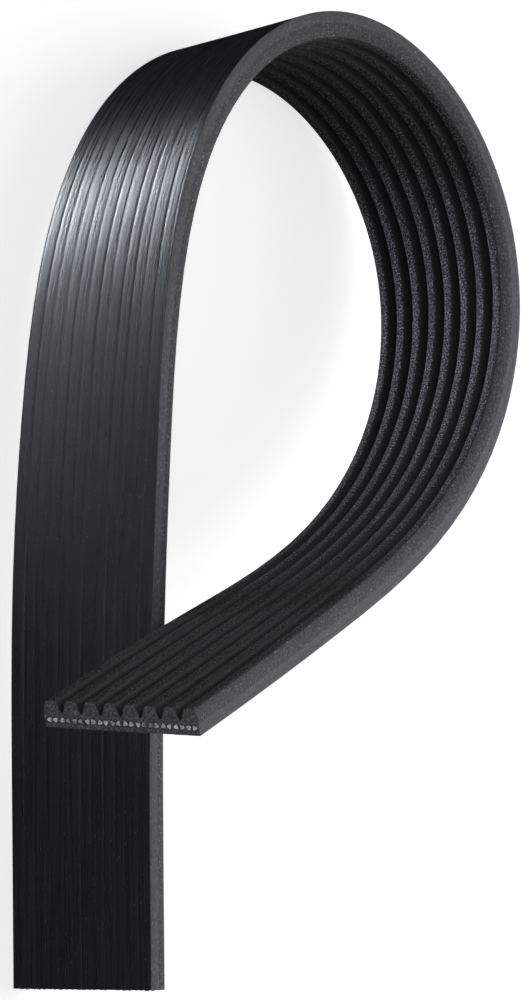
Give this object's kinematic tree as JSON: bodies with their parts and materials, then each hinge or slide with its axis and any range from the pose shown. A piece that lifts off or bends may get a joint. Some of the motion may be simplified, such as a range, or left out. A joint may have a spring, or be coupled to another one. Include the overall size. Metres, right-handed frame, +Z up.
{
  "type": "serpentine belt",
  "caption": "Cut length of ribbed drive belt with a smooth back, curled into an open loop and lying on one edge, with its tensile cords showing at the cut ends.",
  "frame": {"origin": "on the floor, under the middle of the belt's bounding box", "axes": "+Z up, +Y along the straight leg from its cut end towards the loop, +X towards the rib side of the leg"},
  "size_m": [0.1164, 0.1598, 0.0694],
  "materials": {
    "rib_rubber": "matt black rubber with short fibres, ground rib faces",
    "backing_rubber": "satin black rubber, smooth, with faint lengthwise lines",
    "cord_fibre": "twisted off-white polyester cord, bright at the cut ends"
  },
  "bodies": {
    "root": {"rib_body": "rib_rubber", "backing": "backing_rubber", "tensile_cord_01": "cord_fibre", "tensile_cord_02": "cord_fibre", "tensile_cord_03": "cord_fibre", "tensile_cord_04": "cord_fibre", "tensile_cord_05": "cord_fibre", "tensile_cord_06": "cord_fibre", "tensile_cord_07": "cord_fibre", "tensile_cord_08": "cord_fibre", "tensile_cord_09": "cord_fibre", "tensile_cord_10": "cord_fibre", "tensile_cord_11": "cord_fibre", "tensile_cord_12": "cord_fibre", "tensile_cord_13": "cord_fibre", "tensile_cord_14": "cord_fibre", "tensile_cord_15": "cord_fibre", "tensile_cord_16": "cord_fibre", "tensile_cord_17": "cord_fibre", "tensile_cord_18": "cord_fibre", "tensile_cord_19": "cord_fibre", "tensile_cord_20": "cord_fibre", "tensile_cord_21": "cord_fibre", "tensile_cord_22": "cord_fibre", "tensile_cord_23": "cord_fibre", "tensile_cord_24": "cord_fibre"}
  },
  "joints": []
}
